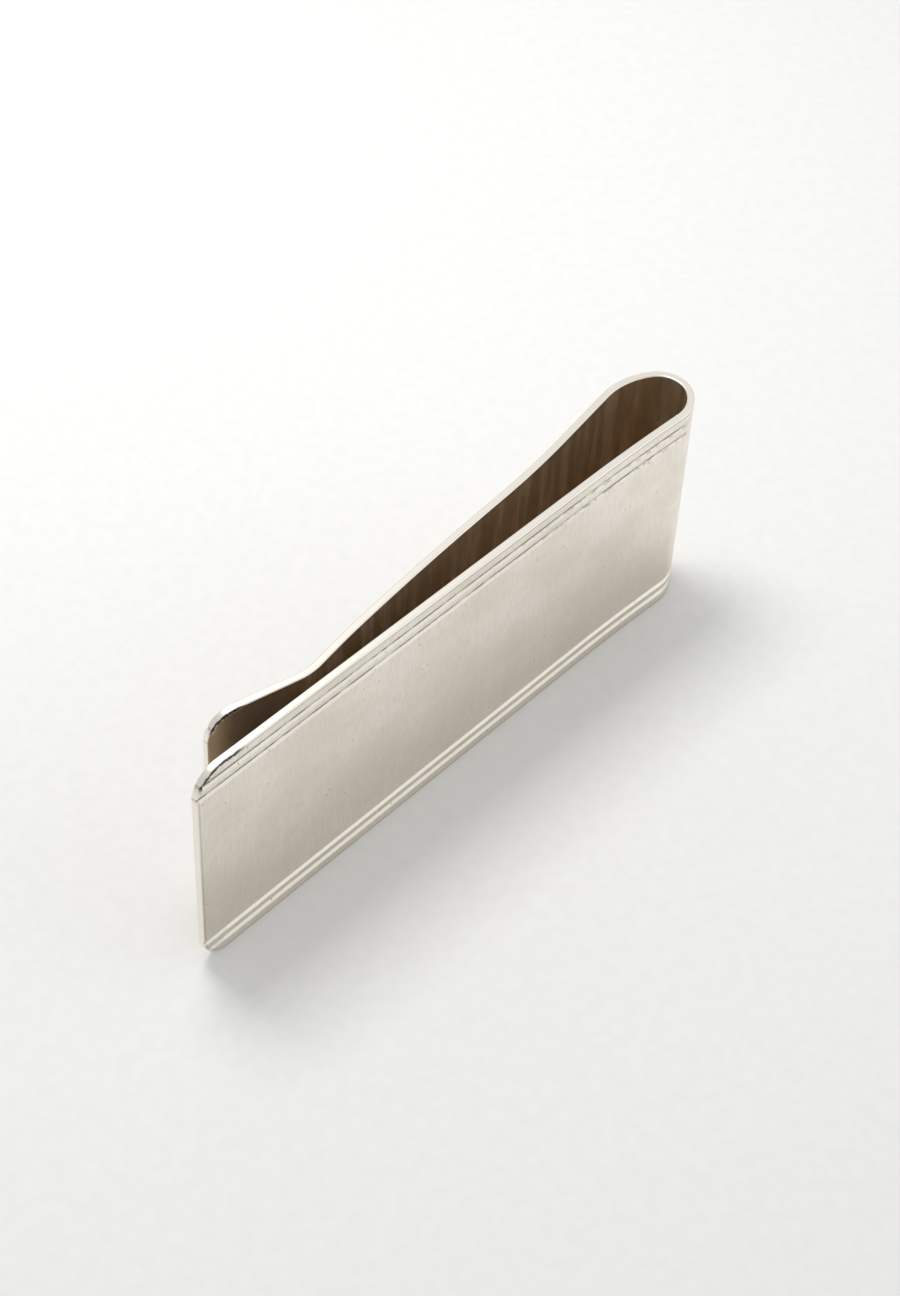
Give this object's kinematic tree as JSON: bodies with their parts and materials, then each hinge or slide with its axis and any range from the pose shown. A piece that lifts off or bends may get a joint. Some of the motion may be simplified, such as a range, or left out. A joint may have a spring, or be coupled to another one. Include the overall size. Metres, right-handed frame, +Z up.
{
  "type": "money clip",
  "caption": "Money clip bent from one strip of silver: flat front leaf with lined borders, sprung loop, and a sprung back arm with a pinch bend and a flared lip.",
  "frame": {"origin": "middle of the clip's footprint, on the surface that its long edge stands on", "axes": "+X along the clip from the open end towards the loop, +Y from the front leaf towards the back arm, +Z up the strip's width"},
  "size_m": [0.0536, 0.0062, 0.02],
  "materials": {
    "silver": "worn satin silver with fine scratches"
  },
  "bodies": {
    "front_leaf": {"front_leaf": "silver"},
    "front_heel": {"front_heel": "silver"},
    "loop_entry": {"loop_entry": "silver"},
    "loop_crown": {"loop_crown": "silver"},
    "loop_exit": {"loop_exit": "silver"},
    "arm_root": {"arm_root": "silver"},
    "arm_upper": {"arm_upper": "silver"},
    "arm_middle": {"arm_middle": "silver"},
    "arm_tip": {"arm_lower": "silver", "pinch_bend": "silver", "lip": "silver"}
  },
  "joints": [
    {"name": "front_flex", "type": "hinge", "parent": "front_leaf", "child": "front_heel", "pos_m": [0.01321, -0.00285, 0.01], "axis": [0, 0, -1], "range_deg": [-0.39, 2.54], "stiffness_Nm_per_rad": 1.4},
    {"name": "entry_flex", "type": "hinge", "parent": "front_heel", "child": "loop_entry", "pos_m": [0.0233, -0.0031, 0.01], "axis": [0, 0, -1], "range_deg": [-0.18, 1.15], "stiffness_Nm_per_rad": 4.23},
    {"name": "crown_flex", "type": "hinge", "parent": "loop_entry", "child": "loop_crown", "pos_m": [0.02635, -0.00156, 0.01], "axis": [0, 0, -1], "range_deg": [-0.102, 0.662], "stiffness_Nm_per_rad": 7.93},
    {"name": "exit_flex", "type": "hinge", "parent": "loop_crown", "child": "loop_exit", "pos_m": [0.02563, 0.00204, 0.01], "axis": [0, 0, -1], "range_deg": [-0.117, 0.764], "stiffness_Nm_per_rad": 6.75},
    {"name": "root_flex", "type": "hinge", "parent": "loop_exit", "child": "arm_root", "pos_m": [0.02113, 0.00303, 0.01], "axis": [0, 0, -1], "range_deg": [-0.14, 0.89], "stiffness_Nm_per_rad": 5.15},
    {"name": "upper_flex", "type": "hinge", "parent": "arm_root", "child": "arm_upper", "pos_m": [0.01511, 0.0021, 0.01], "axis": [0, 0, -1], "range_deg": [-0.15, 0.98], "stiffness_Nm_per_rad": 3.87},
    {"name": "middle_flex", "type": "hinge", "parent": "arm_upper", "child": "arm_middle", "pos_m": [0.00711, 0.00124, 0.01], "axis": [0, 0, -1], "range_deg": [-0.17, 1.11], "stiffness_Nm_per_rad": 2.49},
    {"name": "lower_flex", "type": "hinge", "parent": "arm_middle", "child": "arm_tip", "pos_m": [-0.00851, -0.00007, 0.01], "axis": [0, 0, -1], "range_deg": [-0.069, 0.447], "stiffness_Nm_per_rad": 1.68}
  ]
}
